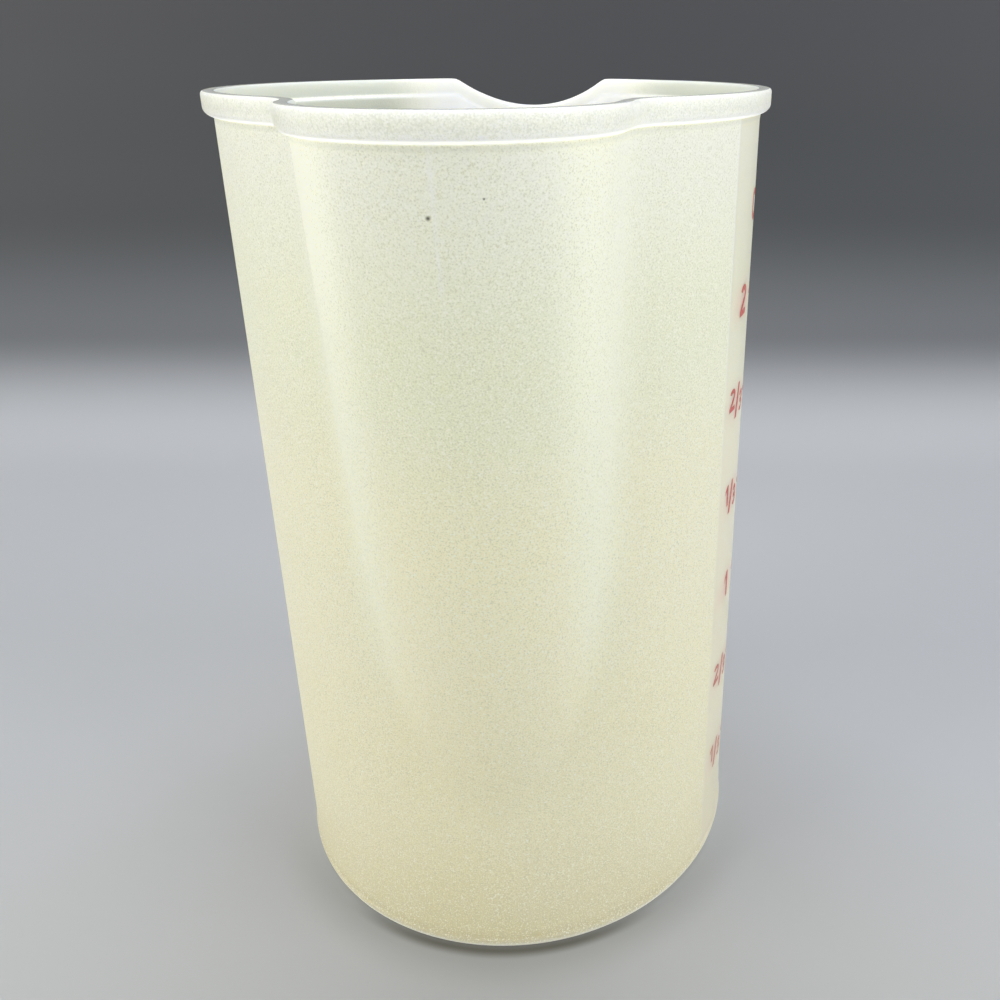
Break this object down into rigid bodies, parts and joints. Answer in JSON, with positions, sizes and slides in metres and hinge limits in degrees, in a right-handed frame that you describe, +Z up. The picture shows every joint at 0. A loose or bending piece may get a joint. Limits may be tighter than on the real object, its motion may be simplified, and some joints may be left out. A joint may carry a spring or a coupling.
{
  "type": "measuring jug",
  "caption": "Tall round translucent plastic measuring jug with a banded rim, a tapering grip lobe, a dipped pouring lip opposite and a printed scale in cups.",
  "frame": {"origin": "where the axis of the round wall meets the surface that the jug stands on", "axes": "+Z up along the axis of the round wall; -Y towards the nose of the lobe; +X towards the printed scale"},
  "size_m": [0.0828, 0.1027, 0.1315],
  "materials": {
    "translucent_plastic": "translucent natural polypropylene, finely matt, slightly yellowed towards the foot",
    "red_ink": "matt printed ink, slightly faded"
  },
  "bodies": {
    "root": {"vessel": "translucent_plastic", "mark_1_line": "red_ink", "mark_1_numerator": "red_ink", "mark_1_slash": "red_ink", "mark_1_denominator": "red_ink", "mark_2_line": "red_ink", "mark_2_numerator": "red_ink", "mark_2_slash": "red_ink", "mark_2_denominator": "red_ink", "mark_3_line": "red_ink", "mark_3_whole": "red_ink", "mark_4_line": "red_ink", "mark_4_numerator": "red_ink", "mark_4_slash": "red_ink", "mark_4_denominator": "red_ink", "mark_5_line": "red_ink", "mark_5_numerator": "red_ink", "mark_5_slash": "red_ink", "mark_5_denominator": "red_ink", "mark_6_line": "red_ink", "mark_6_whole": "red_ink", "unit_letter_1": "red_ink", "unit_letter_2": "red_ink", "unit_letter_3": "red_ink", "unit_letter_4": "red_ink"}
  },
  "joints": []
}
